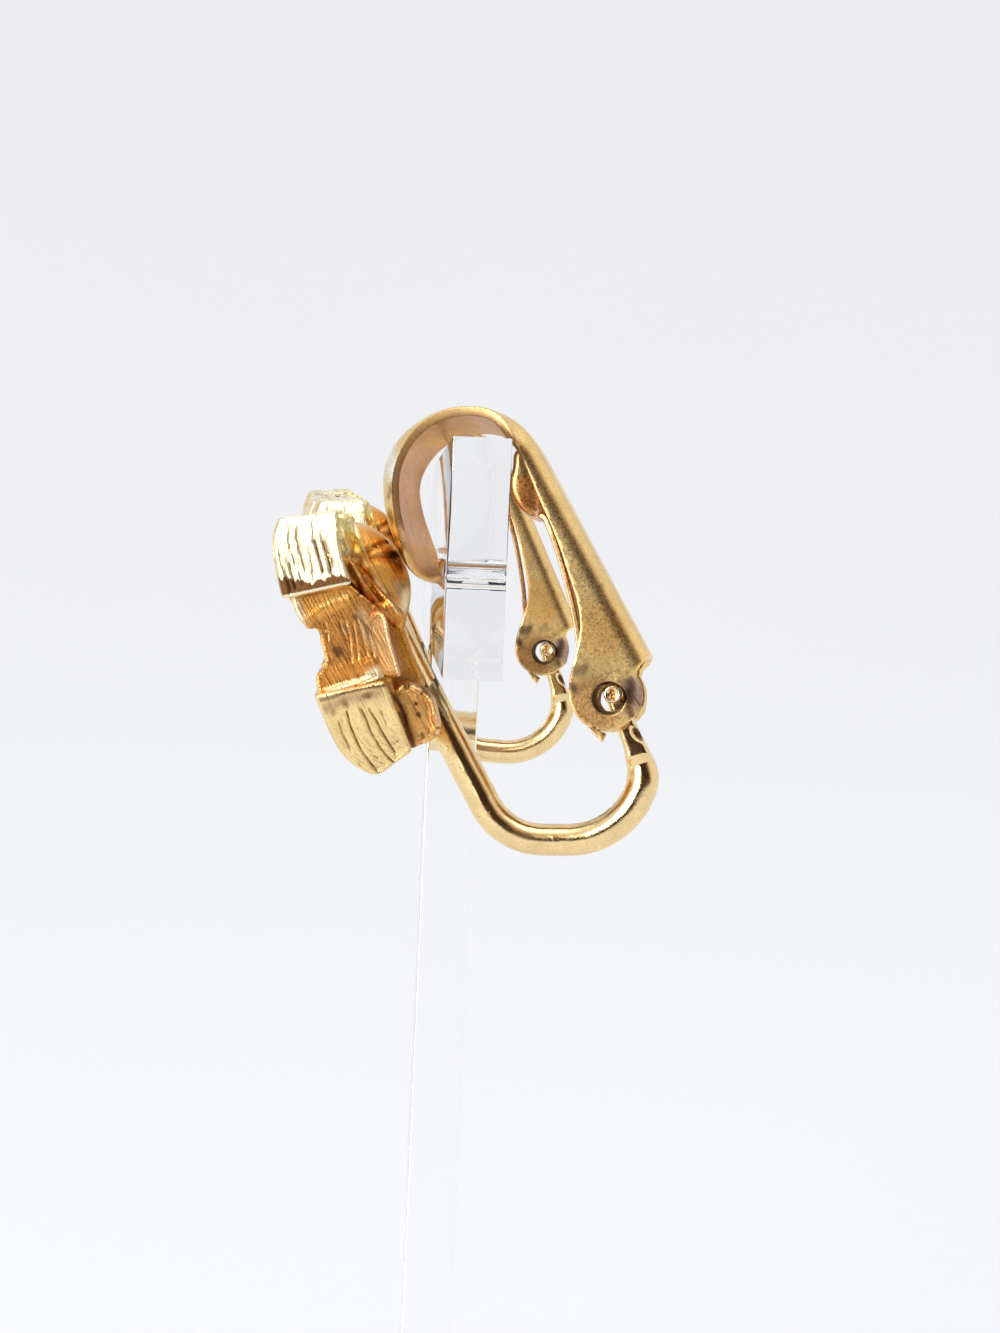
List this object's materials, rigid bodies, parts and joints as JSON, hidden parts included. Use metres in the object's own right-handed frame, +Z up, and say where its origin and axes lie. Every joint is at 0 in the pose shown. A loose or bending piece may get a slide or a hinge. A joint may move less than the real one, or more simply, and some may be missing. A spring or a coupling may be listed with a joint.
{
  "type": "pair of clip-on earrings on a display stand",
  "caption": "Clip-on earrings with a woven-strap ornament, wire bail and hinged spring lever, hanging on a clear T-bar display stand.",
  "frame": {"origin": "middle of the foot plate's underside, on the table", "axes": "+Z up; the stand's bar runs along Y, with the nearer earring at -Y; the ornaments face -X"},
  "size_m": [0.04, 0.0643, 0.0827],
  "materials": {
    "clear_acrylic": "clear, polished faces",
    "gold_plate": "gold-plated casting and wire, polished",
    "worn_gold_plate": "gold-plated sheet, worn and tarnished"
  },
  "bodies": {
    "stand": {"stand_t": "clear_acrylic", "stand_foot": "clear_acrylic", "lever_near": "worn_gold_plate", "lever_far": "worn_gold_plate", "spring_near": "worn_gold_plate", "spring_far": "worn_gold_plate"},
    "ornament_near": {"front_near": "gold_plate"},
    "ornament_far": {"front_far": "gold_plate"}
  },
  "joints": [
    {"name": "clip_near", "type": "hinge", "parent": "stand", "child": "ornament_near", "pos_m": [0.00752, -0.0286, 0.06718], "axis": [-0.179, -0.9791, 0.097], "range_deg": [0, 80]},
    {"name": "clip_far", "type": "hinge", "parent": "stand", "child": "ornament_far", "pos_m": [0.007, 0.014, 0.0675], "axis": [-0.0574, -0.9972, 0.0472], "range_deg": [0, 80]}
  ]
}
